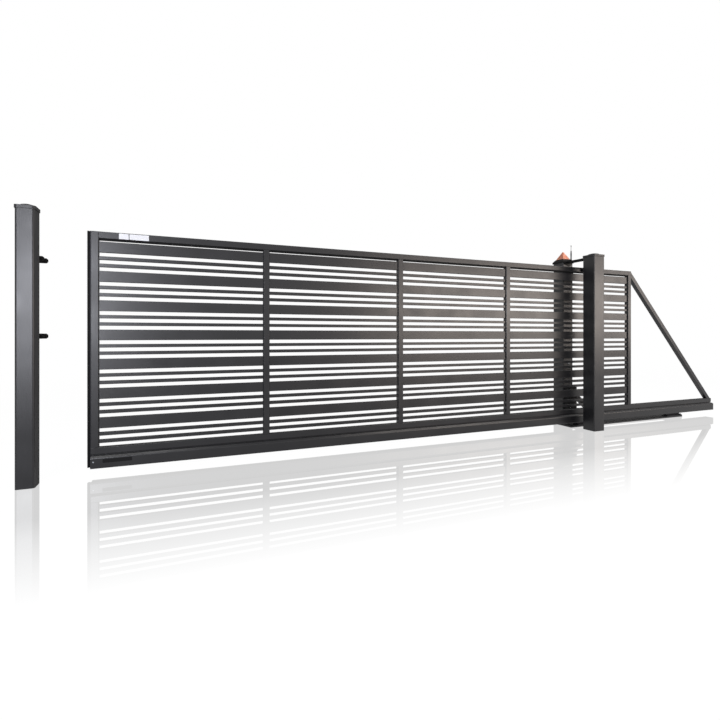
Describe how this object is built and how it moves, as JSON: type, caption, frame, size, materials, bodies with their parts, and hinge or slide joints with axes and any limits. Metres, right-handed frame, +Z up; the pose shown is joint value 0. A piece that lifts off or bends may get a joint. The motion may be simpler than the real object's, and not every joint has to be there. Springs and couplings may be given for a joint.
{
  "type": "sliding driveway gate",
  "caption": "Motorised self-supporting sliding gate with horizontal slats, running beam and tail brace, portal posts with guide arm and signal lamp, and a receiving post with catches.",
  "frame": {"origin": "on the ground, on the underside of the base plate, in the leaf's centre plane midway between the portal posts", "axes": "+X along the leaf towards its tail, the way it opens; +Y to the property side; +Z up"},
  "size_m": [6.085, 0.474, 1.679],
  "materials": {
    "powder_coat": "satin anthracite powder coat",
    "black_coat": "matt black powder coat",
    "black_rubber": "matt",
    "black_plastic": "fine grain",
    "aluminium": "black anodised",
    "zinc_steel": "galvanised",
    "wheel_nylon": "cast nylon",
    "orange_lens": "moulded lens",
    "blank_film": "satin film"
  },
  "bodies": {
    "posts_and_base": {"base_plate": "powder_coat", "carriage_left": "zinc_steel", "carriage_right": "zinc_steel", "carriage_wheels_left": "wheel_nylon", "carriage_wheels_right": "wheel_nylon", "drive_post": "powder_coat", "drive_head": "black_plastic", "lamp_lens": "orange_lens", "antenna": "black_plastic", "guide_post": "powder_coat", "guide_post_cap": "powder_coat", "receiving_post": "powder_coat", "receiving_post_cap": "powder_coat", "lower_catch": "black_coat", "lower_catch_pegs": "black_rubber", "upper_catch": "black_coat", "upper_catch_pegs": "black_rubber", "guide_arm": "black_coat", "head_yoke": "black_coat", "front_guide_bracket": "black_coat", "rear_guide_bracket": "black_coat", "front_guide_roller": "wheel_nylon", "rear_guide_roller": "wheel_nylon", "drive_housing": "black_plastic", "post_strut": "powder_coat"},
    "leaf": {"leading_stile": "powder_coat", "mid_stile_1": "powder_coat", "mid_stile_2": "powder_coat", "mid_stile_3": "powder_coat", "trailing_stile": "powder_coat", "top_rail": "powder_coat", "bottom_rail": "powder_coat", "running_beam": "powder_coat", "tail_brace": "powder_coat", "slat_panel_1": "powder_coat", "slat_panel_2": "powder_coat", "slat_panel_3": "powder_coat", "slat_panel_4": "powder_coat", "safety_edge_carrier": "aluminium", "safety_edge": "black_rubber", "beam_cap_front": "black_plastic", "beam_cap_rear": "black_plastic", "top_rail_strip": "black_rubber"}
  },
  "joints": [
    {"name": "leaf_slide", "type": "slide", "parent": "posts_and_base", "child": "leaf", "axis": [1, 0, 0], "range_m": [-0.258, 3.75]}
  ]
}
